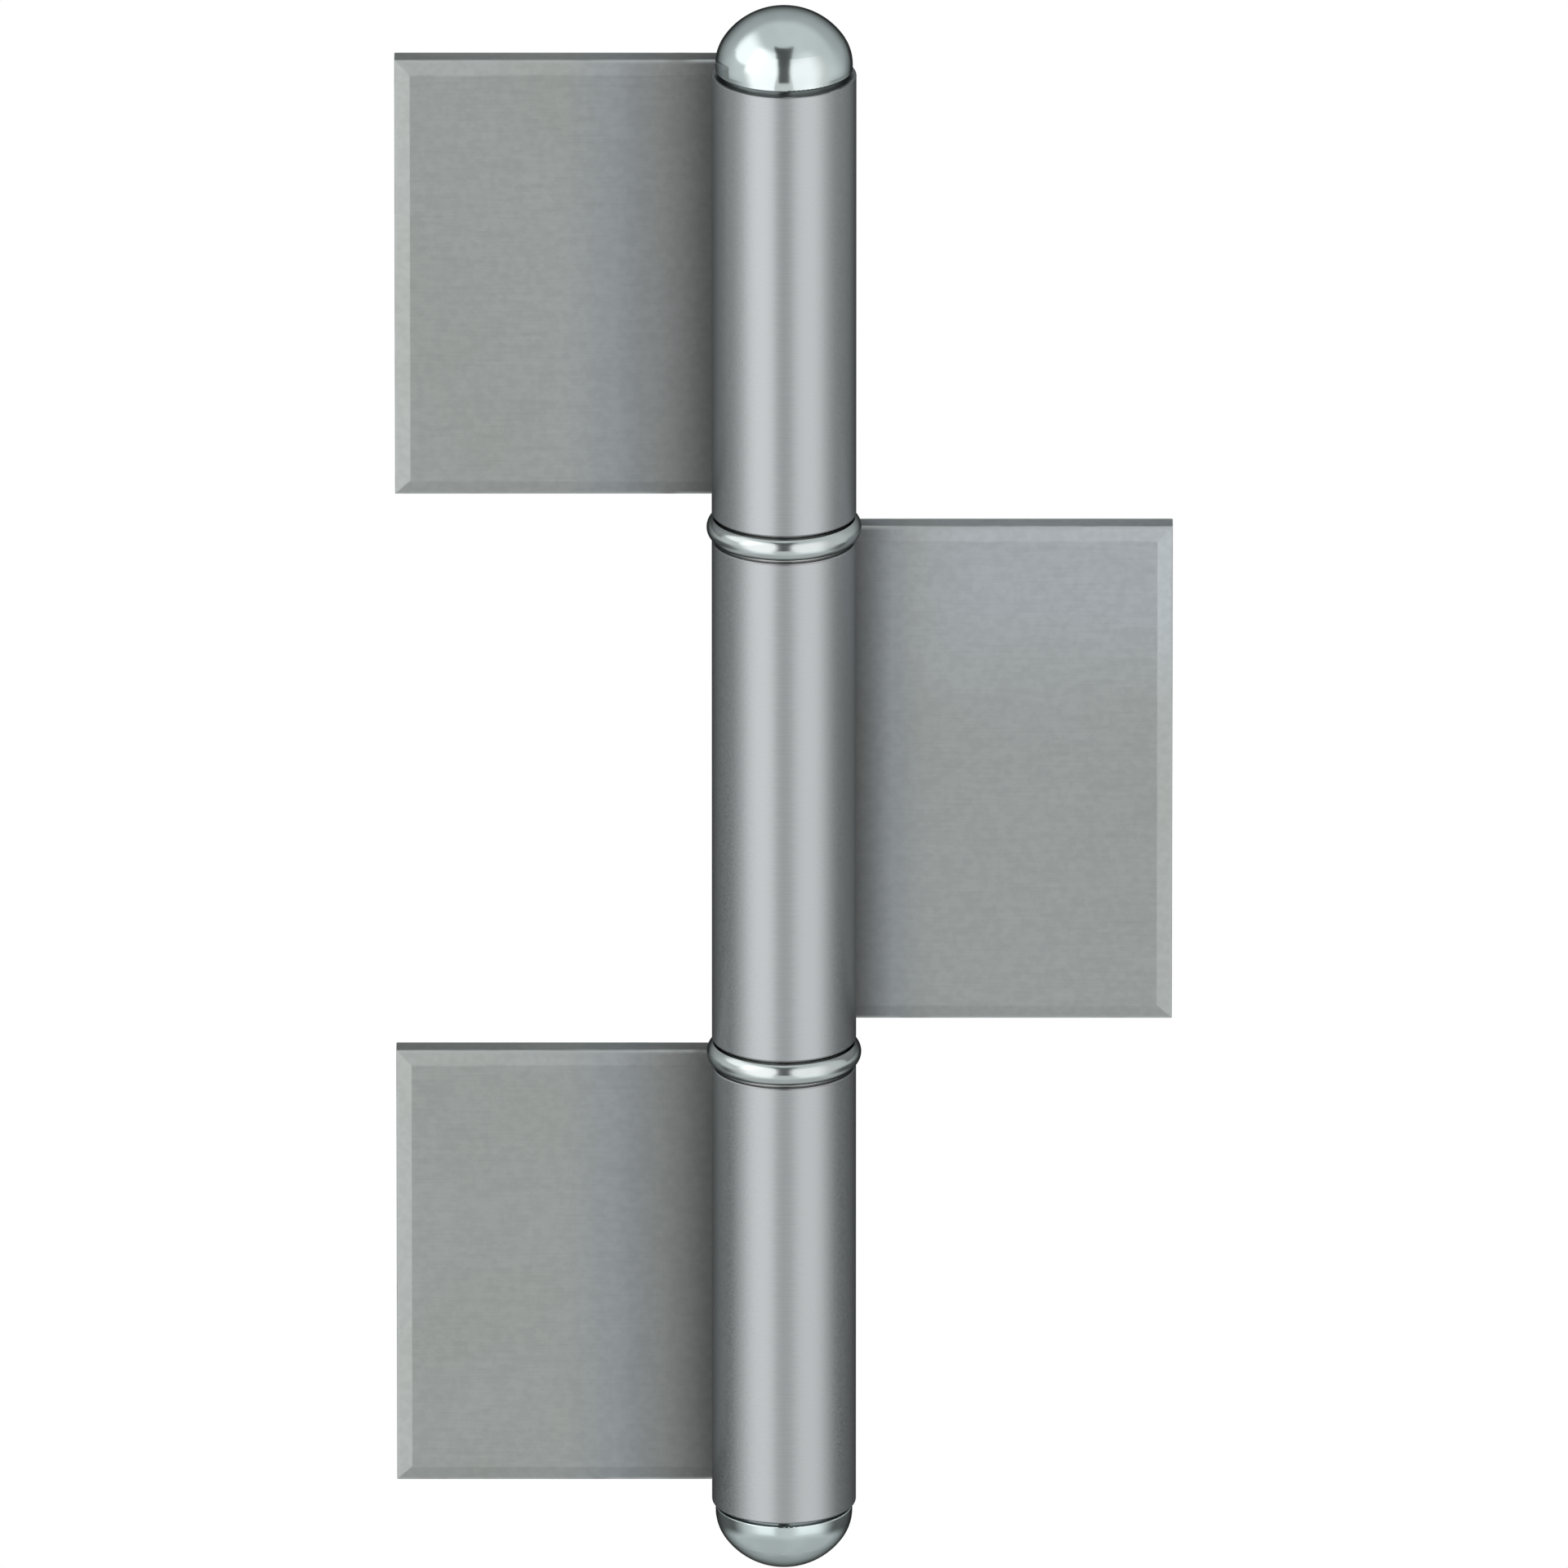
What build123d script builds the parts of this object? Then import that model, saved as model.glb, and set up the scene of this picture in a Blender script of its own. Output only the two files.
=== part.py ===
from build123d import *
import math
import os

# Weld-on hinge with three knuckles: two frame leaves, one door leaf, a pin, two thrust ball
# bearings between the knuckles and a dome cap on each end.
# +Z runs up the pin, the origin is at mid-height on the pin's axis, the frame leaves reach
# towards -X and the door leaf towards +X, and all three leaves are flush at the rear, +Y.

# Rolled leaves
sheet_thickness = 3.5
bore_diameter = 11.0
frame_barrel_length = 58.0
door_barrel_length = 66.0
leaf_reach = 48.4            # from the pin's axis to the leaf's outer edge
leaf_setback = 0.4           # how far each barrel end stands past its leaf's edge
root_margin = 0.9            # full-height sheet beside the seam
seam_gap = 0.3               # between the rolled end of the sheet and the leaf
barrel_end_chamfer = 0.15
weld_bevel_width = 1.9       # across the leaf's front face
weld_bevel_depth = 0.5       # into the sheet

# Hinge pin
pin_clearance = 0.05         # radial, in the door leaf's bore
press_land_length = 14.0     # full-bore length at each end of the pin
pin_chamfer = 0.8

# Thrust ball bearings
race_thickness = 1.1
race_bore_clearance = 0.25   # radial, from the bore line to a race
ball_diameter = 1.5
ball_count = 12
ball_sink = 0.1              # how deep a ball sits in each race
race_clearance = 0.02        # between a ball and its groove
cage_thickness = 0.6
pocket_clearance = 0.06      # between a ball and its pocket in the cage
shell_proud = 0.65           # how far the bead stands out past the barrel
shell_neck = 0.1             # how far the bead's two rims lie inside the barrel
shell_wall = 0.5             # at the rims
shell_end_gap = 0.4          # from each rim to the barrel beside it
shell_side_clearance = 0.3   # from the loose race and the cage to the shell

# Dome caps
cap_diameter = 17.1
cap_rise = 8.45              # from the barrel's end to the top of the dome
cap_neck_height = 0.5        # shadow groove under the dome
cap_neck_inset = 0.8
cap_side_height = 0.7        # straight side between the neck and the dome
cap_shoulder_radius = 5.8    # where the side turns into the crown
cap_rim_fillet = 0.2
spigot_length = 6.0
spigot_chamfer = 0.5
spigot_pin_gap = 0.5         # from a spigot to the end of the pin

# Worked-out sizes
bore_radius = bore_diameter / 2
barrel_radius = bore_radius + sheet_thickness
ball_radius = ball_diameter / 2
race_lift = ball_radius - ball_sink
bearing_height = 2 * (race_thickness + race_lift)
bearing_middle = (door_barrel_length + bearing_height) / 2
frame_middle = door_barrel_length / 2 + bearing_height + frame_barrel_length / 2
stack_end = frame_middle + frame_barrel_length / 2
race_bore_radius = bore_radius + race_bore_clearance
shell_inner_radius = barrel_radius - shell_neck - shell_wall
loose_race_radius = shell_inner_radius - shell_side_clearance
ball_circle_radius = (race_bore_radius + loose_race_radius) / 2

os.makedirs("parts", exist_ok=True)


def finish(builder, name):
    """Labels a finished piece and writes it."""
    builder.part.label = name
    export_step(builder.part, f"parts/{name}.step")


# Leaves: one sheet each, rolled round the pin, with weld bevels on the three free edges
def bevelled_plate(middle, height, root, side):
    """The flat of a leaf, from its root to its outer edge, bevelled on the front."""
    with BuildPart() as plate:
        with BuildSketch(Plane.XY.offset(middle - height / 2)):
            with Locations((side * (root + leaf_reach) / 2, bore_radius + sheet_thickness / 2)):
                Rectangle(leaf_reach - root, sheet_thickness)
        extrude(amount=height)
        front = plate.faces().sort_by(Axis.Y)[0]
        free_edges = front.edges().sort_by(Axis.X, reverse=side > 0)[:-1]
        chamfer(free_edges, weld_bevel_width, weld_bevel_depth, reference=front)
    return plate.part


def rolled_leaf(middle, barrel_length, side):
    """A leaf and its barrel. side is -1 for a leaf towards -X and 1 for one towards +X."""
    seam_lift = math.degrees(math.asin((bore_radius - seam_gap) / barrel_radius))
    roll_turn = side * (270 + seam_lift)
    root = math.sqrt(barrel_radius**2 - bore_radius**2) + root_margin
    plate = bevelled_plate(middle, barrel_length - 2 * leaf_setback, root, side)
    with BuildPart() as leaf:
        with BuildSketch(Plane.XY.offset(middle - barrel_length / 2)):
            with BuildLine():
                rear = Line((side * root, barrel_radius), (0, barrel_radius))
                outside = CenterArc((0, 0), barrel_radius, 90, roll_turn)
                inside = CenterArc((0, 0), bore_radius, 90, roll_turn)
                Line(outside @ 1, inside @ 1)
                Polyline(inside @ 0, (side * root, bore_radius), rear @ 0)
            make_face()
        extrude(amount=barrel_length)
        rims = leaf.edges().filter_by(lambda edge: edge.geom_type == GeomType.CIRCLE)
        chamfer(rims.filter_by(lambda rim: rim.radius > bore_radius), barrel_end_chamfer)
        add(plate)
    return leaf


finish(rolled_leaf(frame_middle, frame_barrel_length, -1), "upper_frame_leaf")
finish(rolled_leaf(-frame_middle, frame_barrel_length, -1), "lower_frame_leaf")
finish(rolled_leaf(0, door_barrel_length, 1), "door_leaf")

# Hinge pin: a ground rod with a press land at each end for the frame barrels
pin_end = stack_end - spigot_length - spigot_pin_gap
with BuildPart() as hinge_pin:
    with BuildSketch(Plane.XY.offset(-pin_end)):
        Circle(bore_radius - pin_clearance)
    extrude(amount=2 * pin_end)
    for land_start in (-pin_end, pin_end - press_land_length):
        with BuildSketch(Plane.XY.offset(land_start)):
            Circle(bore_radius)
        extrude(amount=press_land_length)
    pin_faces = hinge_pin.faces().filter_by(GeomType.PLANE).sort_by(Axis.Z)
    chamfer(pin_faces[0].edges() + pin_faces[-1].edges(), pin_chamfer)
finish(hinge_pin, "hinge_pin")


# Dome caps: a polished dome, turned with a crown radius and a tighter shoulder radius, on a
# neck. Its spigot is pressed into the barrel's end.
def dome_cap(direction):
    """A cap for the upper end with direction 1, for the lower end with -1."""
    cap_radius = cap_diameter / 2
    neck_radius = cap_radius - cap_neck_inset
    dome_base = cap_neck_height + cap_side_height
    dome_height = cap_rise - dome_base
    shoulder_reach = cap_radius - cap_shoulder_radius
    crown_radius = (shoulder_reach**2 + dome_height**2 - cap_shoulder_radius**2) / (
        2 * (dome_height - cap_shoulder_radius)
    )
    shoulder_turn = math.degrees(math.atan2(crown_radius - dome_height, shoulder_reach))
    base = Plane(origin=(0, 0, direction * stack_end), x_dir=(1, 0, 0), z_dir=(0, -direction, 0))
    with BuildPart() as cap:
        with BuildSketch(base) as profile:
            with BuildLine():
                under = Polyline(
                    (0, -spigot_length),
                    (bore_radius, -spigot_length),
                    (bore_radius, 0),
                    (neck_radius, 0),
                    (neck_radius, cap_neck_height),
                    (cap_radius, cap_neck_height),
                    (cap_radius, dome_base),
                )
                shoulder = CenterArc(
                    (shoulder_reach, dome_base), cap_shoulder_radius, 0, shoulder_turn
                )
                crown = RadiusArc(shoulder @ 1, (0, cap_rise), -crown_radius)
                Line(crown @ 1, under @ 0)
            make_face()
            fillet(profile.vertices().sort_by(Axis.X)[-2:].sort_by(Axis.Y)[0], cap_rim_fillet)
            chamfer(profile.vertices().sort_by(Axis.Y)[:2].sort_by(Axis.X)[-1], spigot_chamfer)
        revolve(axis=Axis.Z)
    return cap


finish(dome_cap(1), "top_cap")
finish(dome_cap(-1), "bottom_cap")


# Bearings: two grooved race washers, caged balls between them, and the polished bead shell
# that is pressed on the race which rests on the knuckle below
def race_washer(middle, side, outer_radius):
    """A race washer above the ball circle with side 1, below it with -1."""
    with BuildPart() as washer:
        with BuildSketch(Plane.XZ.shift_origin((0, 0, middle))):
            race_height = side * (race_lift + race_thickness / 2)
            with Locations(((race_bore_radius + outer_radius) / 2, race_height)):
                Rectangle(outer_radius - race_bore_radius, race_thickness)
            with Locations((ball_circle_radius, 0)):
                Circle(ball_radius + race_clearance, mode=Mode.SUBTRACT)
        revolve(axis=Axis.Z)
    return washer


def ball_cage(middle):
    """A flat ring with one round pocket for each ball."""
    with BuildPart() as cage:
        with BuildSketch(Plane.XY.offset(middle - cage_thickness / 2)):
            Circle(loose_race_radius)
            Circle(race_bore_radius, mode=Mode.SUBTRACT)
            with PolarLocations(ball_circle_radius, ball_count):
                Circle(ball_radius + pocket_clearance, mode=Mode.SUBTRACT)
        extrude(amount=cage_thickness)
    return cage


def ball_ring(middle):
    """The balls of one bearing, each a solid of its own."""
    with BuildPart(Plane.XY.offset(middle)) as balls:
        with PolarLocations(ball_circle_radius, ball_count):
            Sphere(ball_radius)
    return balls


def bead_shell(middle):
    """The bead ring round a bearing: a straight bore inside and a rounded outside."""
    half_height = bearing_height / 2 - shell_end_gap
    rim_radius = barrel_radius - shell_neck
    with BuildPart() as shell:
        with BuildSketch(Plane.XZ.shift_origin((0, 0, middle))):
            with BuildLine():
                bead = ThreePointArc(
                    (rim_radius, -half_height),
                    (barrel_radius + shell_proud, 0),
                    (rim_radius, half_height),
                )
                Polyline(
                    bead @ 1,
                    (shell_inner_radius, half_height),
                    (shell_inner_radius, -half_height),
                    bead @ 0,
                )
            make_face()
        revolve(axis=Axis.Z)
    return shell


for place, middle in (("upper", bearing_middle), ("lower", -bearing_middle)):
    finish(race_washer(middle, 1, loose_race_radius), f"{place}_bearing_top_race")
    finish(race_washer(middle, -1, shell_inner_radius), f"{place}_bearing_bottom_race")
    finish(ball_cage(middle), f"{place}_ball_cage")
    finish(ball_ring(middle), f"{place}_bearing_balls")
    finish(bead_shell(middle), f"{place}_bearing_shell")
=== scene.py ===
import bpy
import bmesh
import math
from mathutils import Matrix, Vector


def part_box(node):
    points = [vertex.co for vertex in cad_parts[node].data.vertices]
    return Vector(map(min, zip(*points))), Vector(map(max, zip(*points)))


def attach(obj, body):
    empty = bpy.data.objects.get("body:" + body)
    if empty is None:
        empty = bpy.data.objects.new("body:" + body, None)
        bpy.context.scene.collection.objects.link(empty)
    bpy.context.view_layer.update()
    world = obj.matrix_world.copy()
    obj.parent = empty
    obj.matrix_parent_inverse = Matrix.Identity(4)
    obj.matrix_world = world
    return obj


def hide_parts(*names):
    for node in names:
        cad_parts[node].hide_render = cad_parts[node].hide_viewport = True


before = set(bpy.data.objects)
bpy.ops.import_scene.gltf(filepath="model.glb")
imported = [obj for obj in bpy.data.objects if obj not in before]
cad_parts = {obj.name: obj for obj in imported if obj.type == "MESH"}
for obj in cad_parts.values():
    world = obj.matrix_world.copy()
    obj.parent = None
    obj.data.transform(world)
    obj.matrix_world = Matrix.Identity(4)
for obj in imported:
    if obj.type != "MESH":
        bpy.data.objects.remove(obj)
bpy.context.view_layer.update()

# Leaves: each is one thick steel sheet, sawn to length, rolled round the pin into its own barrel
# and bevelled on the front of its free edges, where the weld will run. A grinding belt has left
# fine lines along the sheet. Painted shade darkens the root beside the barrel, and more painted
# light lies on the sheet: a blue reflection, bevel highlights, a sheen and shade on sawn faces.
barrel_radius = 0.009
leaf_setback = 0.0004            # from each barrel's end to its leaf's edge
bevel_width = 0.0019
bevel_foot = 0.006               # how far behind the pin's axis a bevel's outer edge lies
edge_ease = 0.00012
eased_from = math.radians(9)     # edges that turn by more than this are eased
flat_within = math.radians(0.5)  # facets that turn by less than this are one face
rub_depth = 0.0005
rub_patches = (0.2, 0.55)        # the range of noise over which a rubbed patch begins

# Colours of the ground steel
belt_grey = (0.334, 0.346, 0.334, 1)
cool_grey = (0.343, 0.354, 0.350, 1)
# A painted blue reflection, where the root's painted shade ends and in the door leaf's painted
# sheen
reflected_blue_grey = (0.325, 0.343, 0.356, 1)
barrel_grey = (0.346, 0.352, 0.360, 1)
rubbed_grey = (0.42, 0.44, 0.44, 1)

# How light each place is beside the plain flat, from its darkest spot to its lightest
line_tones = (0.95, 1.05)
speck_tones = (0.965, 1.035)
# Painted highlight on the bevels, by which way they face: a touch of painted shade on one that
# faces down
bevel_highlight_tones = (0.98, 1.18)       # a bevel that faces down, and any other
# Painted sheen on the door leaf's upper part: a highlight that is paler and bluer
painted_sheen_tone = 1.2
# Painted shade in the band of painted blue reflection
blue_band_shade = 0.92
# Painted shade on the sawn edge faces and on the barrels' ends
sawn_edge_shade = 0.75

# The range of each pattern's noise that the tones and colours are spread over
line_range = (0.25, 0.75)
speck_range = (0.3, 0.7)
cloud_range = (0.35, 0.65)

# Where each place starts and where it is at its full, in metres
off_barrel = (0.00003, 0.0002)       # outwards from the barrel's skin
bevel_to_flat = (-0.0003, 0.0001)    # inwards from the bevel's inner edge
behind_bevel = (0.00005, 0.0002)     # behind the bevel's foot
sawn_edge = (0.00002, 0.00012)       # inwards from the leaf's outline
barrel_end = (0.0002, 0.0003)        # inwards from the barrel's end
sheen_below_top = (0.032, 0.008)      # down from the barrel's upper end
sheen_from_pin = (1.1, 1.7)           # in barrel radii, and in reaches of the dark root
blue_rise = (0.72, 0.9)              # in reaches of the dark root
blue_fall = (1.0, 1.3)               # in reaches of the dark root
faces_down = (-0.2, -0.05)           # Z of the surface's direction

barrel_roughness = 0.36
flat_roughness = 0.52
bevel_roughness = 0.64
line_roughness = 0.05
line_bump = 0.25
line_height = 0.00001
brushing = 0.6
brush_turn = 0.25                # of a full turn, so that the gloss spreads across the lines
edge_tint = 0.5


def add_node(tree, kind, inputs=None, **settings):
    """Adds a node. Each input is given a value, or the output of another node to follow."""
    new = tree.nodes.new(kind)
    for name, value in settings.items():
        setattr(new, name, value)
    for name, value in (inputs or {}).items():
        if isinstance(value, bpy.types.NodeSocket):
            tree.links.new(value, new.inputs[name])
        else:
            new.inputs[name].default_value = value
    return new


def sums(tree, operation, *values):
    """The output of a Math node."""
    inputs = dict(enumerate(values))
    return add_node(tree, "ShaderNodeMath", inputs, operation=operation).outputs[0]


def ramp(tree, value, start, end, low=0.0, high=1.0):
    """Goes smoothly from low, where the value is start, to high, where it is end."""
    inputs = {"Value": value, "From Min": start, "From Max": end, "To Min": low, "To Max": high}
    kind = "ShaderNodeMapRange"
    return add_node(tree, kind, inputs, interpolation_type="SMOOTHSTEP").outputs["Result"]


def blend_of(tree, factor, first, second):
    """A number between two others."""
    inputs = {"Factor": factor, "A": first, "B": second}
    return add_node(tree, "ShaderNodeMix", inputs).outputs["Result"]


def colour_between(tree, factor, first, second):
    """A colour between two others."""
    inputs = {"Factor": factor, "A": first, "B": second}
    return add_node(tree, "ShaderNodeMix", inputs, data_type="RGBA").outputs["Result"]


def distance_from_pin(tree, place):
    """How far a place is from the pin's axis."""
    in_plan = add_node(tree, "ShaderNodeVectorMath", {0: place, 1: (1, 1, 0)},
                       operation="MULTIPLY").outputs[0]
    return add_node(tree, "ShaderNodeVectorMath", {0: in_plan},
                    operation="LENGTH").outputs["Value"]


def new_group(name, inputs, outputs):
    """A shader group with named inputs, Vector first, and outputs of one number each."""
    group = bpy.data.node_groups.new(name, "ShaderNodeTree")
    sockets = group.interface
    sockets.new_socket("Vector", in_out="INPUT", socket_type="NodeSocketVector")
    for socket_name, value in inputs.items():
        socket = sockets.new_socket(socket_name, in_out="INPUT", socket_type="NodeSocketFloat")
        socket.default_value = value
    for socket_name in outputs:
        sockets.new_socket(socket_name, in_out="OUTPUT", socket_type="NodeSocketFloat")
    return group, add_node(group, "NodeGroupInput").outputs


def stretched_noise(tree, vector, length, width, detail):
    """Noise in streaks along X of the vector, of a length and a width in metres."""
    size = add_node(tree, "ShaderNodeCombineXYZ", {"X": length, "Y": width, "Z": width})
    place = add_node(tree, "ShaderNodeVectorMath", {0: vector, 1: size.outputs[0]},
                     operation="DIVIDE")
    noise = add_node(tree, "ShaderNodeTexNoise",
                     {"Vector": place.outputs[0], "Scale": 1.0, "Detail": detail})
    return noise.outputs["Fac"]


def belt_lines_group():
    """Shader group: fine ground lines along X of its vector, specks and slow clouds in steel."""
    inputs = {"Line Length": 0.006, "Line Width": 0.0002, "Speck Size": 0.001,
              "Cloud Size": 0.02}
    group, given = new_group("belt_lines", inputs, ("Lines", "Specks", "Clouds"))
    place = given["Vector"]
    lines = stretched_noise(group, place, given["Line Length"], given["Line Width"], detail=2.0)
    clouds = stretched_noise(group, place, given["Cloud Size"], given["Cloud Size"], detail=1.0)
    specks = stretched_noise(group, place, given["Speck Size"], given["Speck Size"], detail=1.0)
    add_node(group, "NodeGroupOutput", {"Lines": lines, "Specks": specks, "Clouds": clouds})
    return group


def edge_distance_group():
    """Shader group: how far a place on a piece is from its outer edge and its two ends."""
    inputs = {"Reach": 0.05, "Low End": -0.03, "High End": 0.03}
    group, given = new_group("edge_distance", inputs, ("Distance",))
    at = add_node(group, "ShaderNodeSeparateXYZ", {0: given["Vector"]}).outputs
    to_side = sums(group, "SUBTRACT", given["Reach"], sums(group, "ABSOLUTE", at["X"]))
    to_top = sums(group, "SUBTRACT", given["High End"], at["Z"])
    to_bottom = sums(group, "SUBTRACT", at["Z"], given["Low End"])
    nearest = sums(group, "MINIMUM", to_side, sums(group, "MINIMUM", to_top, to_bottom))
    add_node(group, "NodeGroupOutput", {"Distance": nearest})
    return group


def rubbed_edge_group():
    """Shader group: a mask that is 1 on an edge that handling has rubbed bright, in patches."""
    inputs = {"Distance": 0.001, "Depth": 0.0003, "Patch Size": 0.004}
    group, given = new_group("rubbed_edge", inputs, ("Rub",))
    size = given["Patch Size"]
    patches = ramp(group, stretched_noise(group, given["Vector"], size, size, detail=1.0),
                   *rub_patches)
    share = sums(group, "DIVIDE", given["Distance"], given["Depth"])
    near = ramp(group, share, 0.0, 1.0, 1.0, 0.0)
    add_node(group, "NodeGroupOutput", {"Rub": sums(group, "MULTIPLY", near, patches)})
    return group


belt_lines = belt_lines_group()
edge_distance = edge_distance_group()
rubbed_edge = rubbed_edge_group()


def placed_group(tree, group, inputs):
    """Places a shader group in a material."""
    return add_node(tree, "ShaderNodeGroup", inputs, node_tree=group).outputs


def new_finish(name):
    """A new material, its node tree, its Principled shader and its Object coordinates."""
    finish = bpy.data.materials.new(name)
    finish.use_nodes = True
    tree = finish.node_tree
    place = add_node(tree, "ShaderNodeTexCoord").outputs["Object"]
    return finish, tree, tree.nodes["Principled BSDF"].inputs, place


def leaf_finish(node, root_shade_reach, root_shade_tone, painted_sheen_amount):
    """Belt-ground steel for one leaf. Its root has painted shade out to the given reach from the
    pin, with a painted blue reflection where it ends, and, where the last argument is 1, a
    painted paler and bluer sheen near its top."""
    low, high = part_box(node)
    finish, tree, steel, place = new_finish(node + "_steel")
    at = add_node(tree, "ShaderNodeSeparateXYZ", {0: place}).outputs
    from_pin = distance_from_pin(tree, place)
    on_leaf = ramp(tree, from_pin, barrel_radius + off_barrel[0], barrel_radius + off_barrel[1])

    turn = sums(tree, "ARCTAN2", at["X"], sums(tree, "MULTIPLY", at["Y"], -1.0))
    along = blend_of(tree, on_leaf, sums(tree, "MULTIPLY", turn, barrel_radius), at["X"])
    sheet = add_node(tree, "ShaderNodeCombineXYZ", {"X": along, "Y": at["Z"], "Z": at["Y"]})
    ground = placed_group(tree, belt_lines, {"Vector": sheet.outputs[0]})

    leaf_edge = placed_group(tree, edge_distance,
                             {"Vector": place, "Reach": max(-low[0], high[0]),
                              "Low End": low[2] + leaf_setback,
                              "High End": high[2] - leaf_setback})["Distance"]
    to_bevel_foot = sums(tree, "ABSOLUTE", sums(tree, "SUBTRACT", at["Y"], bevel_foot))
    to_rear = sums(tree, "ABSOLUTE", sums(tree, "SUBTRACT", at["Y"], barrel_radius))
    to_corner = sums(tree, "MAXIMUM", leaf_edge, sums(tree, "MINIMUM", to_bevel_foot, to_rear))
    rub = placed_group(tree, rubbed_edge,
                       {"Vector": place, "Depth": rub_depth, "Distance": to_corner})["Rub"]
    rub = sums(tree, "MULTIPLY", rub, on_leaf)

    near_edge = ramp(tree, leaf_edge, bevel_width + bevel_to_flat[0],
                     bevel_width + bevel_to_flat[1], 1.0, 0.0)
    at_front = ramp(tree, at["Y"], bevel_foot + behind_bevel[0], bevel_foot + behind_bevel[1],
                    1.0, 0.0)
    on_bevel = sums(tree, "MULTIPLY", on_leaf, sums(tree, "MULTIPLY", near_edge, at_front))
    leaf_sawn = ramp(tree, leaf_edge, *sawn_edge, 1.0, 0.0)
    barrel_sawn = ramp(tree, leaf_edge, barrel_end[0] - leaf_setback,
                       barrel_end[1] - leaf_setback, 1.0, 0.0)
    sawn = blend_of(tree, on_leaf, barrel_sawn, leaf_sawn)

    # Painted shade on the root beside the barrel: darkest against it, gone at the reach given.
    root = add_node(tree, "ShaderNodeMapRange",
                    {"Value": from_pin, "From Min": barrel_radius + off_barrel[1],
                     "From Max": root_shade_reach, "To Min": root_shade_tone}).outputs["Result"]
    # Painted sheen near the leaf's top, away from the barrel
    painted_sheen = sums(tree, "MULTIPLY",
                ramp(tree, at["Z"], high[2] - sheen_below_top[0], high[2] - sheen_below_top[1]),
                ramp(tree, from_pin, barrel_radius * sheen_from_pin[0],
                     root_shade_reach * sheen_from_pin[1], 0.0, painted_sheen_amount))
    # A painted blue reflection in a band where the root's painted shade ends
    rising = ramp(tree, from_pin, root_shade_reach * blue_rise[0], root_shade_reach * blue_rise[1])
    falling = ramp(tree, from_pin, root_shade_reach * blue_fall[0], root_shade_reach * blue_fall[1], 1.0, 0.0)
    painted_blue_band = sums(tree, "MULTIPLY", on_leaf, sums(tree, "MULTIPLY", rising, falling))
    # The painted sheen takes the same painted blue.
    blue = sums(tree, "MAXIMUM", painted_blue_band, sums(tree, "MULTIPLY", on_leaf, painted_sheen))

    tint = colour_between(tree, ramp(tree, ground["Clouds"], *cloud_range), belt_grey, cool_grey)
    tint = colour_between(tree, blue, tint, reflected_blue_grey)
    tint = colour_between(tree, on_leaf, barrel_grey, tint)
    specks = ramp(tree, ground["Specks"], *speck_range, *speck_tones)
    # Painted highlight on a bevel, set by which way it faces, with a touch of painted shade where
    # it faces down
    facing = add_node(tree, "ShaderNodeSeparateXYZ",
                      {0: add_node(tree, "ShaderNodeTexCoord").outputs["Normal"]}).outputs
    bevel_highlight = ramp(tree, facing["Z"], *faces_down, *bevel_highlight_tones)
    tone = ramp(tree, ground["Lines"], *line_range, *line_tones)
    # Lines and specks are grain; the root, bevel, sheen, blue band and sawn edge tones are
    # painted light and shade.
    for where, place_tone in ((on_leaf, root), (on_leaf, specks), (on_bevel, bevel_highlight),
                              (painted_sheen, painted_sheen_tone), (painted_blue_band, blue_band_shade), (sawn, sawn_edge_shade)):
        tone = sums(tree, "MULTIPLY", tone, blend_of(tree, where, 1.0, place_tone))
    toned = add_node(tree, "ShaderNodeVectorMath", {0: tint, "Scale": tone}, operation="SCALE")
    tree.links.new(colour_between(tree, rub, toned.outputs[0], rubbed_grey), steel["Base Color"])

    leaf_roughness = blend_of(tree, on_bevel, flat_roughness, bevel_roughness)
    roughness = blend_of(tree, on_leaf, barrel_roughness, leaf_roughness)
    uneven = ramp(tree, ground["Lines"], *line_range, -line_roughness, line_roughness)
    tree.links.new(sums(tree, "ADD", roughness, uneven), steel["Roughness"])
    bump = add_node(tree, "ShaderNodeBump", {"Strength": line_bump, "Distance": line_height,
                                             "Height": ground["Lines"]})
    tree.links.new(bump.outputs[0], steel["Normal"])
    steel["Metallic"].default_value = 1.0
    steel["Anisotropic"].default_value = brushing
    steel["Anisotropic Rotation"].default_value = brush_turn
    steel["Specular Tint"].default_value = (edge_tint, edge_tint, edge_tint, 1)
    return finish


def eased_sheet(node):
    """A copy of a leaf's solid with its sharp edges eased, as a file leaves them."""
    build = bmesh.new()
    build.from_mesh(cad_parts[node].data)
    bmesh.ops.remove_doubles(build, verts=build.verts, dist=1e-7)
    bmesh.ops.dissolve_limit(build, angle_limit=flat_within, verts=build.verts,
                             edges=build.edges)
    build.verts.index_update()
    mesh = bpy.data.meshes.new(node + "_sheet")
    mesh.from_pydata([vertex.co for vertex in build.verts], [],
                     [[vertex.index for vertex in face.verts] for face in build.faces])
    build.free()
    mesh.shade_smooth()
    sheet = bpy.data.objects.new(node + "_sheet", mesh)
    bpy.context.scene.collection.objects.link(sheet)
    ease = sheet.modifiers.new("ease", "BEVEL")
    ease.limit_method = "ANGLE"
    ease.angle_limit = eased_from
    ease.width = edge_ease
    ease.segments = 2
    ease.harden_normals = True
    evaluated = sheet.evaluated_get(bpy.context.evaluated_depsgraph_get())
    sheet.data = bpy.data.meshes.new_from_object(evaluated)
    sheet.modifiers.clear()
    return sheet


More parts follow.
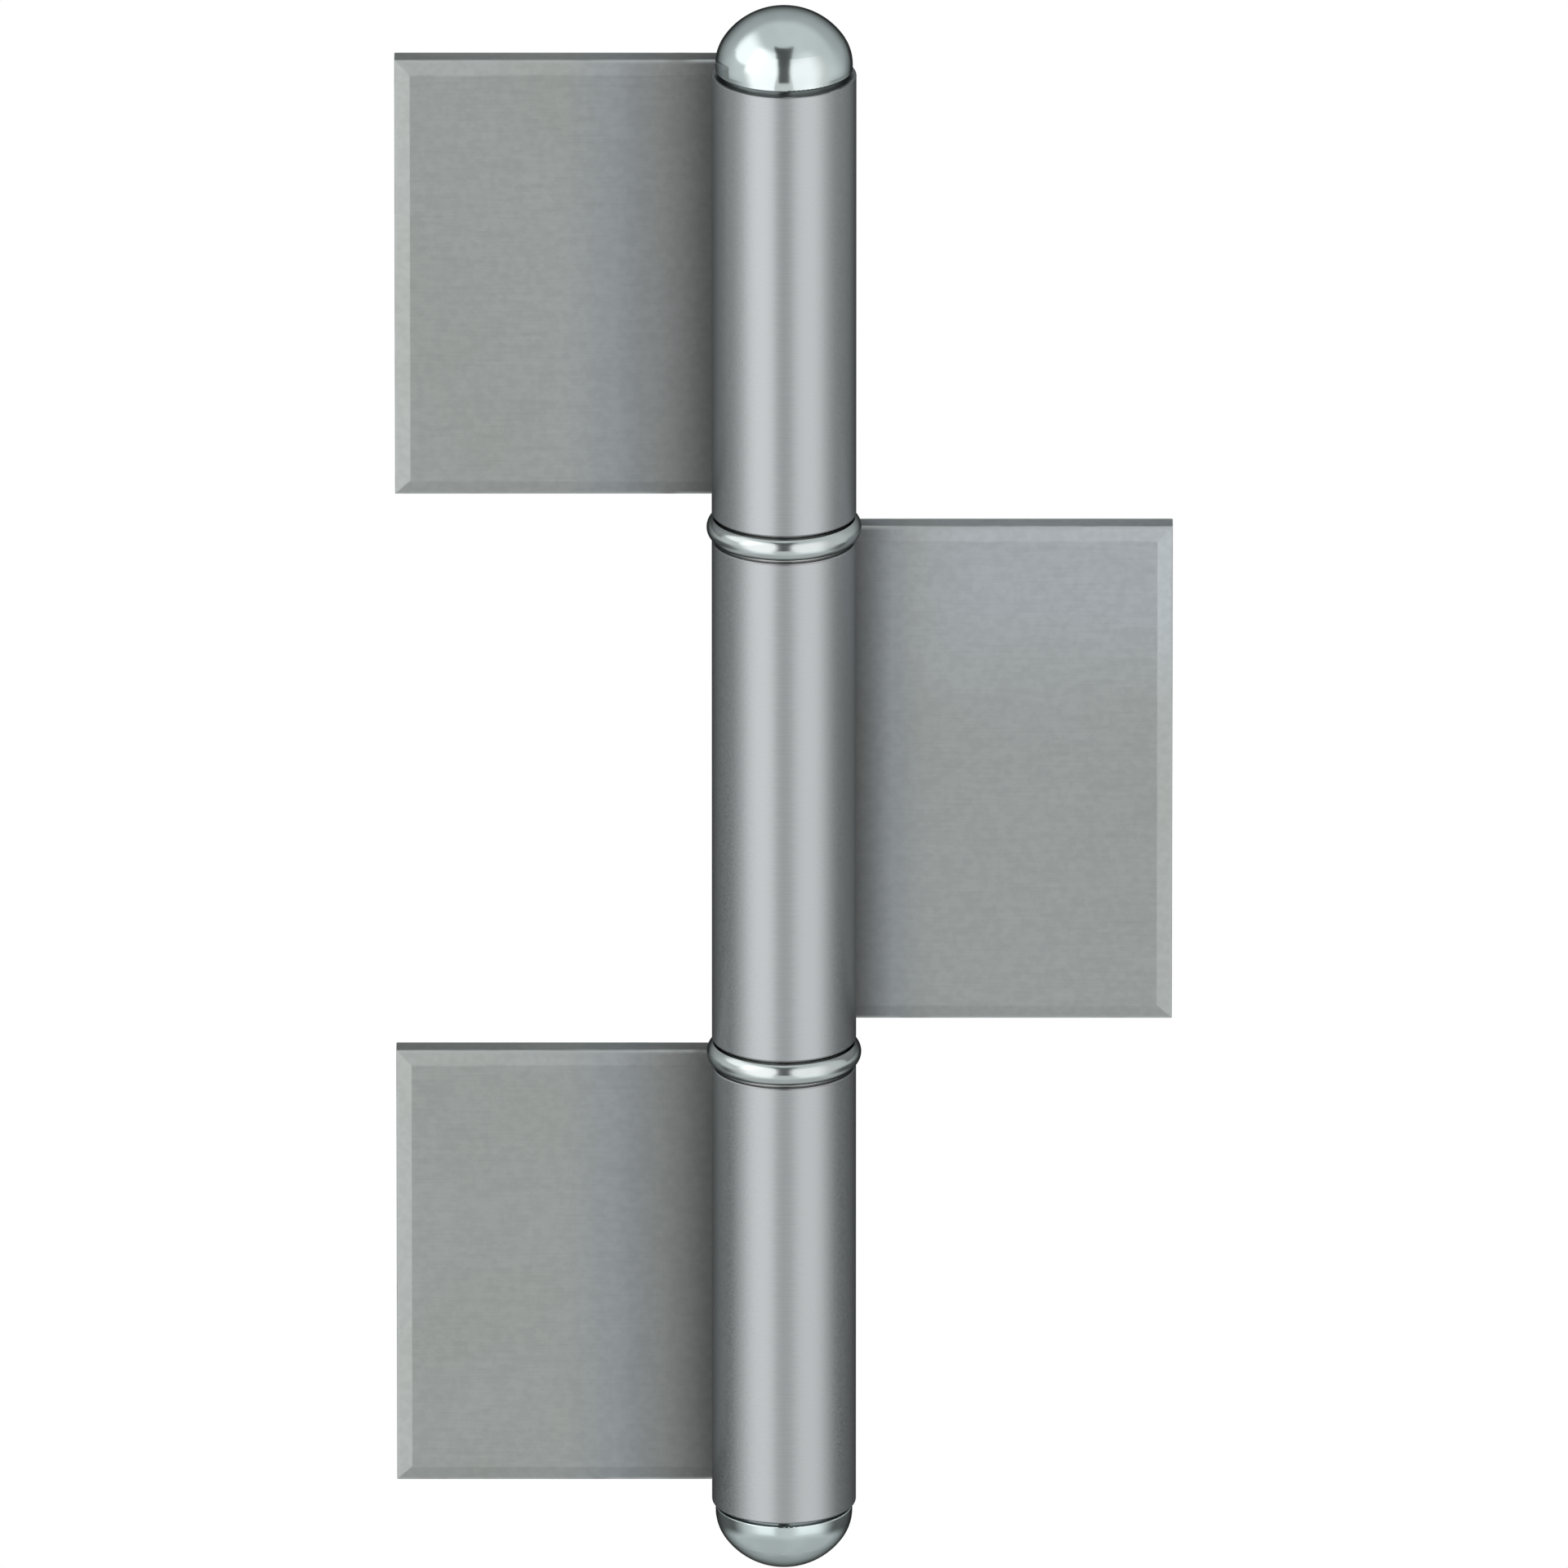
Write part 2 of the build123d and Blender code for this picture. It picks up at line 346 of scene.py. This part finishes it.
# Each leaf: its body, how far its painted root shade reaches and how dark it gets, and how much
# painted sheen it has.
for node, body, root_shade_reach, root_shade_tone, painted_sheen_amount in (
    ("upper_frame_leaf", "frame_side", 0.022, 0.3, 0.0),
    ("lower_frame_leaf", "frame_side", 0.022, 0.3, 0.0),
    ("door_leaf", "door_side", 0.0146, 0.25, 1.0),
):
    sheet = eased_sheet(node)
    sheet.data.materials.clear()
    sheet.data.materials.append(leaf_finish(node, root_shade_reach, root_shade_tone, painted_sheen_amount))
    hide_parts(node)
    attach(sheet, body)


# Hinge pin and bearing races: turned and ground bright all round, so their lines follow the
# turn. The pin is pressed into the frame barrels; the races lie loose round it.
ground_dull = 0.85               # the duller clouds' share of the colour
ground_spread = (0.8, 1.2)       # of the roughness, from line to line


def ground_finish(name, colour, roughness, line_width):
    """Bright steel with fine lines round the pin's axis."""
    finish, tree, steel, place = new_finish(name)
    at = add_node(tree, "ShaderNodeSeparateXYZ", {0: place}).outputs
    turn = sums(tree, "ARCTAN2", at["X"], at["Y"])
    round_axis = sums(tree, "MULTIPLY", turn, barrel_radius)
    turned = add_node(tree, "ShaderNodeCombineXYZ",
                      {"X": round_axis, "Y": at["Z"], "Z": distance_from_pin(tree, place)})
    ground = placed_group(tree, belt_lines,
                          {"Vector": turned.outputs[0], "Line Width": line_width,
                           "Cloud Size": 0.006})
    dull = tuple(part * ground_dull for part in colour)
    clouds = ramp(tree, ground["Clouds"], *cloud_range)
    tree.links.new(colour_between(tree, clouds, (*dull, 1), (*colour, 1)), steel["Base Color"])
    line_rough = ramp(tree, ground["Lines"], *line_range, roughness * ground_spread[0],
                      roughness * ground_spread[1])
    tree.links.new(line_rough, steel["Roughness"])
    steel["Metallic"].default_value = 1.0
    return finish


def finish_nodes(names, finish):
    """Gives CAD nodes one finish."""
    for name in names:
        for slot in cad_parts[name].material_slots:
            slot.material = finish


bearings = ("upper_", "lower_")
ground_steel = ground_finish("ground_pin_steel", colour=(0.50, 0.51, 0.50), roughness=0.28,
                             line_width=0.0001)
finish_nodes(["hinge_pin"], ground_steel)
for bearing in bearings:
    finish_nodes([bearing + "bearing_top_race", bearing + "bearing_bottom_race"], ground_steel)


# Ball cages: flat rings stamped from thin steel strip, dull from tumbling, with a round pocket
# for each ball.
cage_steel = ground_finish("tumbled_cage_steel", colour=(0.40, 0.39, 0.36), roughness=0.45,
                           line_width=0.0004)
finish_nodes([bearing + "ball_cage" for bearing in bearings], cage_steel)


# Bearing balls: hardened chrome steel, lapped to a mirror, twelve in each row. Geometry nodes
# set one ball at each point of the row's circle.
ball_count = 12
ball_rings = 16
ball_haze = 0.0008
haze_dull = 0.93                 # the duller haze's share of the colour
haze_spread = (0.8, 1.25)        # of the roughness, from haze to haze
haze_range = (0.3, 0.7)
haze_streak = (3, 1 / 8)         # a mop streak's length and width beside the haze's size
mop_bump = 0.15
mop_height = 0.000004
polish_edge = 0.3


def polished_finish(name, colour, roughness, haze_size):
    """Polished steel with a faint uneven haze that the mop leaves."""
    finish, tree, steel, place = new_finish(name)
    hazy = placed_group(tree, belt_lines,
                        {"Vector": place, "Line Length": haze_size * haze_streak[0],
                         "Line Width": haze_size * haze_streak[1], "Cloud Size": haze_size})
    dull = tuple(part * haze_dull for part in colour)
    clouds = ramp(tree, hazy["Clouds"], *cloud_range)
    tree.links.new(colour_between(tree, clouds, (*dull, 1), (*colour, 1)), steel["Base Color"])
    haze_rough = ramp(tree, hazy["Clouds"], *haze_range, roughness * haze_spread[0],
                      roughness * haze_spread[1])
    tree.links.new(haze_rough, steel["Roughness"])
    bump = add_node(tree, "ShaderNodeBump", {"Strength": mop_bump, "Distance": mop_height,
                                             "Height": hazy["Lines"]})
    tree.links.new(bump.outputs[0], steel["Normal"])
    steel["Metallic"].default_value = 1.0
    steel["Specular Tint"].default_value = (polish_edge, polish_edge, polish_edge, 1)
    return finish


def ball_row_tree(finish):
    """Geometry nodes: balls of one size, evenly round a circle about the pin's axis."""
    tree = bpy.data.node_groups.new("ball_row", "GeometryNodeTree")
    sockets = tree.interface
    sockets.new_socket("Geometry", in_out="INPUT", socket_type="NodeSocketGeometry")
    for name, value in (("Circle Radius", 0.007), ("Ball Radius", 0.00075), ("Height", 0.0)):
        socket = sockets.new_socket(name, in_out="INPUT", socket_type="NodeSocketFloat")
        socket.default_value = value
    sockets.new_socket("Geometry", in_out="OUTPUT", socket_type="NodeSocketGeometry")
    given = add_node(tree, "NodeGroupInput").outputs
    circle = add_node(tree, "GeometryNodeMeshCircle",
                      {"Vertices": ball_count, "Radius": given["Circle Radius"]})
    height = add_node(tree, "ShaderNodeCombineXYZ", {"Z": given["Height"]})
    row = add_node(tree, "GeometryNodeTransform",
                   {"Geometry": circle.outputs[0], "Translation": height.outputs[0]})
    ball = add_node(tree, "GeometryNodeMeshUVSphere",
                    {"Segments": 2 * ball_rings, "Rings": ball_rings,
                     "Radius": given["Ball Radius"]})
    smooth = add_node(tree, "GeometryNodeSetShadeSmooth", {"Geometry": ball.outputs["Mesh"]})
    balls = add_node(tree, "GeometryNodeInstanceOnPoints",
                     {"Points": row.outputs[0], "Instance": smooth.outputs[0]})
    real = add_node(tree, "GeometryNodeRealizeInstances", {"Geometry": balls.outputs[0]})
    finished = add_node(tree, "GeometryNodeSetMaterial",
                        {"Geometry": real.outputs[0], "Material": finish})
    add_node(tree, "NodeGroupOutput", {"Geometry": finished.outputs[0]})
    return tree


ball_steel = polished_finish("lapped_ball_steel", colour=(0.56, 0.57, 0.57), roughness=0.05,
                             haze_size=ball_haze)
ball_row = ball_row_tree(ball_steel)
for bearing in bearings:
    node = bearing + "bearing_balls"
    low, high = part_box(node)
    ball_radius = (high[2] - low[2]) / 2
    row_sizes = {
        "Circle Radius": (high[0] - low[0]) / 2 - ball_radius,
        "Ball Radius": ball_radius,
        "Height": (high[2] + low[2]) / 2,
    }
    balls = bpy.data.objects.new(bearing + "lapped_balls", bpy.data.meshes.new("balls"))
    bpy.context.scene.collection.objects.link(balls)
    row = balls.modifiers.new("row", "NODES")
    row.node_group = ball_row
    for item in ball_row.interface.items_tree:
        if item.in_out == "INPUT" and item.name in row_sizes:
            row[item.identifier] = row_sizes[item.name]
    evaluated = balls.evaluated_get(bpy.context.evaluated_depsgraph_get())
    balls.data = bpy.data.meshes.new_from_object(evaluated)
    balls.modifiers.clear()
    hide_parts(node)
    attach(balls, bearing + "ball_row")


# Bead shells and dome caps: turned from bar and polished to a mirror. Each bead is pressed on
# its lower race and hides the bearing; each cap's spigot is pressed into its barrel's end.
mop_haze = 0.004
bead_steel = polished_finish("bead_steel", colour=(0.45, 0.475, 0.475), roughness=0.17,
                             haze_size=mop_haze)
finish_nodes([bearing + "bearing_shell" for bearing in bearings], bead_steel)
cap_steel = polished_finish("cap_steel", colour=(0.50, 0.545, 0.545), roughness=0.13,
                            haze_size=mop_haze)
finish_nodes(["top_cap", "bottom_cap"], cap_steel)


# Studio floor and world: white, as the lens and the steel see them. Under the hinge the floor
# shows more of its own paint, so that the soft shadow stays.
floor_drop = 0.45
floor_half = 12.0
floor_white = 0.8
shadow_inner = 0.25
shadow_outer = 0.85
white_over_shadow = 0.2
room_light = 0.85


def white_for_the_lens(tree):
    """A factor that is 1 for rays that the camera, a reflection or a clear body sends out."""
    path = add_node(tree, "ShaderNodeLightPath").outputs
    steel_ray = sums(tree, "MAXIMUM", path["Is Glossy Ray"], path["Is Transmission Ray"])
    return sums(tree, "MAXIMUM", path["Is Camera Ray"], steel_ray)


world = bpy.data.worlds.new("studio")
bpy.context.scene.world = world
world.use_nodes = True
sky = world.node_tree
world.cycles.sampling_method = "NONE"
sky.nodes.clear()
room = add_node(sky, "ShaderNodeBackground", {"Color": (1, 1, 1, 1), "Strength": room_light})
white = add_node(sky, "ShaderNodeBackground", {"Color": (1, 1, 1, 1), "Strength": 1.0})
mixed = add_node(sky, "ShaderNodeMixShader",
                 {0: white_for_the_lens(sky), 1: room.outputs[0], 2: white.outputs[0]})
add_node(sky, "ShaderNodeOutputWorld", {"Surface": mixed.outputs[0]})

floor_mesh = bpy.data.meshes.new("floor")
floor_corners = [(-floor_half, -floor_half), (floor_half, -floor_half),
                 (floor_half, floor_half), (-floor_half, floor_half)]
floor_mesh.from_pydata([(x, y, -floor_drop) for x, y in floor_corners], [], [(0, 1, 2, 3)])
floor = bpy.data.objects.new("floor", floor_mesh)
bpy.context.scene.collection.objects.link(floor)
floor_paint = bpy.data.materials.new("floor_paint")
floor_paint.use_nodes = True
floor_paint.cycles.emission_sampling = "NONE"
tree = floor_paint.node_tree
tree.nodes.clear()
place = add_node(tree, "ShaderNodeTexCoord").outputs["Object"]
reach = add_node(tree, "ShaderNodeVectorMath", {0: place}, operation="LENGTH")
white_share = ramp(tree, reach.outputs["Value"], math.hypot(shadow_inner, floor_drop),
                   math.hypot(shadow_outer, floor_drop), white_over_shadow, 1.0)
share = sums(tree, "MULTIPLY", white_share, white_for_the_lens(tree))
paint = add_node(tree, "ShaderNodeBsdfDiffuse",
                 {"Color": (floor_white, floor_white, floor_white, 1)})
glow = add_node(tree, "ShaderNodeEmission", {"Color": (1, 1, 1, 1), "Strength": 1.0})
mixed = add_node(tree, "ShaderNodeMixShader", {0: share, 1: paint.outputs[0], 2: glow.outputs[0]})
add_node(tree, "ShaderNodeOutputMaterial", {"Surface": mixed.outputs[0]})
floor_mesh.materials.append(floor_paint)


# Studio lamps: two tall soft boxes in front, left and right of the lens, and a higher one on the
# far left that lights the hinge from the side. Their light fades towards their edges, as a real
# box's cloth does.
lamp_distance = 1.05


def round_the_hinge(azimuth, elevation, distance):
    """A point round the hinge. Azimuth 0 is in front, 90 on the right."""
    turn = math.radians(azimuth)
    lift = math.radians(elevation)
    level = distance * math.cos(lift)
    return Vector((math.sin(turn) * level, -math.cos(turn) * level, distance * math.sin(lift)))


def soft_box(name, azimuths, elevations, brightness, fades):
    """A soft lamp that faces the hinge, as bright as the white world where brightness is 1.

    fades are the shares of its size over which the light dies away at its left edge, its right
    edge, its foot and its top."""
    azimuth = sum(azimuths) / 2
    elevation = sum(elevations) / 2
    half_turn = math.radians(azimuths[1] - azimuths[0]) / 2
    half_lift = math.radians(elevations[1] - elevations[0]) / 2
    lamp = bpy.data.lights.new(name, "AREA")
    lamp.shape = "RECTANGLE"
    lamp.size = 2 * lamp_distance * math.cos(math.radians(elevation)) * math.tan(half_turn)
    lamp.size_y = 2 * lamp_distance * math.tan(half_lift)
    lamp.energy = brightness * math.pi * lamp.size * lamp.size_y
    lamp.use_nodes = True
    tree = lamp.node_tree
    across = add_node(tree, "ShaderNodeNewGeometry").outputs["Parametric"]
    across = add_node(tree, "ShaderNodeSeparateXYZ", {0: across}).outputs
    strength = 1.0
    for axis, start_fade, end_fade in (("X", fades[0], fades[1]), ("Y", fades[2], fades[3])):
        strength = sums(tree, "MULTIPLY", strength, ramp(tree, across[axis], 0.0, start_fade))
        strength = sums(tree, "MULTIPLY", strength, ramp(tree, across[axis], 1.0, 1 - end_fade))
    tree.links.new(strength, tree.nodes["Emission"].inputs["Strength"])
    box = bpy.data.objects.new(name, lamp)
    bpy.context.scene.collection.objects.link(box)
    box.location = round_the_hinge(azimuth, elevation, lamp_distance)
    box.rotation_euler = box.location.to_track_quat("Z", "Y").to_euler()
    box.visible_camera = False


soft_box("left_soft_box", azimuths=(-74, -9), elevations=(-24, 64), brightness=0.95,
         fades=(0.35, 0.05, 0.1, 0.15))
soft_box("right_soft_box", azimuths=(9, 76), elevations=(-24, 60), brightness=0.7,
         fades=(0.05, 0.45, 0.1, 0.3))
soft_box("far_left_soft_box", azimuths=(-122, -42), elevations=(0, 66), brightness=0.9,
         fades=(0.25, 0.35, 0.3, 0.25))


# Studio cards: a card that glows, though it is no lamp, and that only the steel sees, with
# painted
# shade in its glow: white in front and dark behind. It lines the floor, a wall behind the hinge
# and the ceiling, and a narrow dark card stands in the gap between the two front soft boxes.
card_tint = (0.95, 1, 1, 1)
floor_card_lift = 0.005
floor_ring_start = 0.02
floor_ring_step = 0.05
floor_ring_count = 29
wall_turn = (80, 290)            # azimuths of its two ends
wall_radius = 1.0
wall_step = 0.067
wall_step_count = 36
ceiling_height = 1.9
ceiling_ring_step = 0.09
ceiling_ring_count = 22

# The darkest place is behind the hinge, a little below its middle and wider than it is high.
# The shade rises round it in steps: each from one angle to another off that place, by so much.
dark_shade = 0.1
dark_drop = 18
dark_turn_weight = 0.8
dark_rims = ((24, 40, 0.4), (38, 54, 0.18), (70, 86, 0.3))
behind_from = (85, 130)
aside_from = (62, 98)
aside_below = (-7, -19)
aside_above = (-50, -34)
aside_depth = 0.82
underfoot = (-38, -52)
underfoot_depth = 0.2

# Painted light where the soft boxes light the floor, as azimuths of its two sides, and by how
# much
lit_left = ((10, 22), (68, 35), 0.68)
lit_right = ((12, 30), (80, 50), 0.55)
lit_from = (0.52, 0.72)          # metres from the hinge

gap_shade = 0.12
gap_card_distance = 1.0
gap_card_tilt = 20
gap_rows = ((8.5, -5.4), (10.5, 27.8), (14.5, 49.2), (24, 60.8), (29, 63.3), (38, 69))


def rise(value, start, end):
    """Goes smoothly from 0, where the value is start, to 1, where it is end."""
    share = min(max((value - start) / (end - start), 0.0), 1.0)
    return share * share * (3 - 2 * share)


def card(name, rows, shade_at, hides_lamps=False):
    """A glowing card, no lamp, through rows of points. shade_at gives the painted shade of its
    glow at a point, where 1 is white.
    """
    across = len(rows[0])
    points = [point for row in rows for point in row]
    faces = []
    for up in range(len(rows) - 1):
        for step in range(across - 1):
            first = up * across + step
            faces.append((first, first + 1, first + across + 1, first + across))
    mesh = bpy.data.meshes.new(name)
    mesh.from_pydata(points, [], faces)
    shades = mesh.attributes.new("shade", "FLOAT", "POINT")
    shades.data.foreach_set("value", [shade_at(point) for point in points])
    painted_glow = bpy.data.materials.new(name + "_paper")
    painted_glow.use_nodes = True
    painted_glow.cycles.emission_sampling = "NONE"
    tree = painted_glow.node_tree
    tree.nodes.clear()
    shade = add_node(tree, "ShaderNodeAttribute", attribute_name="shade").outputs["Fac"]
    glow = add_node(tree, "ShaderNodeEmission", {"Color": card_tint, "Strength": shade})
    add_node(tree, "ShaderNodeOutputMaterial", {"Surface": glow.outputs[0]})
    mesh.materials.append(painted_glow)
    piece = bpy.data.objects.new(name, mesh)
    bpy.context.scene.collection.objects.link(piece)
    piece.visible_camera = False
    piece.visible_diffuse = False
    piece.visible_shadow = hides_lamps


def arc_row(azimuths, radius, height, steps):
    """Points of one height along an arc round the hinge."""
    row = []
    for step in range(steps + 1):
        azimuth = azimuths[0] + (azimuths[1] - azimuths[0]) * step / steps
        point = round_the_hinge(azimuth, 0, radius)
        point.z = height
        row.append(point)
    return row


def azimuth_of(point):
    """The azimuth of a point round the hinge, from 0 in front up to 180 behind, both ways."""
    return math.degrees(math.atan2(abs(point.x), -point.y))


def lining_shade(point):
    """The shade of the lining: white in front, dark behind, greyer low at the sides."""
    azimuth = azimuth_of(point)
    lift = math.degrees(math.atan2(point.z, math.hypot(point.x, point.y)))
    off_dark = math.hypot((180 - azimuth) * dark_turn_weight, lift + dark_drop)
    behind = dark_shade + sum(step * rise(off_dark, start, end) for start, end, step in dark_rims)
    behind = 1 - (1 - behind) * rise(azimuth, *behind_from)
    aside = rise(azimuth, *aside_from) * rise(lift, *aside_below) * rise(lift, *aside_above)
    return min(behind, 1 - aside_depth * aside, 1 - underfoot_depth * rise(lift, *underfoot))


def floor_shade(point):
    """As the lining, with painted light in front where the two soft boxes light the floor."""
    near_side, far_side, light = lit_left if point.x < 0 else lit_right
    azimuth = azimuth_of(point)
    lit = light * rise(azimuth, *near_side) * rise(azimuth, *far_side)
    return lining_shade(point) + lit * rise(math.hypot(point.x, point.y), *lit_from)


def gap_row(half_width, lift):
    """One row of the card in the gap, which leans over the hinge as the soft boxes do."""
    distance = gap_card_distance / math.cos(math.radians(lift - gap_card_tilt))
    middle = round_the_hinge(0, lift, distance)
    return arc_row((-half_width, half_width), -middle.y, middle.z, steps=4)


floor_card_height = floor_card_lift - floor_drop
floor_rings = [arc_row((0, 360), floor_ring_start + floor_ring_step * ring, floor_card_height,
                       steps=120) for ring in range(floor_ring_count)]
card("floor_card", floor_rings, floor_shade)
wall_rows = [arc_row(wall_turn, wall_radius, floor_card_height + wall_step * step, steps=100)
             for step in range(wall_step_count)]
card("wall_card", wall_rows, lining_shade)
ceiling_rings = [arc_row((0, 360), floor_ring_start + ceiling_ring_step * ring, ceiling_height,
                         steps=90) for ring in range(ceiling_ring_count)]
card("overhead_card", ceiling_rings, lining_shade)
card("gap_card", [gap_row(*row) for row in gap_rows], lambda point: gap_shade, hides_lamps=True)


# Camera: a long lens in front of the hinge and 20 degrees above it, so that the barrels' sides
# stay parallel and each barrel's end shows as a flat ellipse.
lens_mm = 1500
sensor_mm = 36
picture_width = 0.1953
camera_elevation = math.radians(20)
aim = Vector((0, 0, 0.00067))
far_limit = 40
camera_data = bpy.data.cameras.new("camera")
camera_data.lens = lens_mm
camera_data.sensor_width = sensor_mm
camera_data.clip_end = far_limit
camera = bpy.data.objects.new("camera", camera_data)
bpy.context.scene.collection.objects.link(camera)
away = Vector((0, -math.cos(camera_elevation), math.sin(camera_elevation)))
camera.location = aim + away * picture_width * lens_mm / sensor_mm
camera.rotation_euler = away.to_track_quat("Z", "Y").to_euler()
bpy.context.scene.camera = camera
bpy.context.scene.view_settings.view_transform = "Standard"
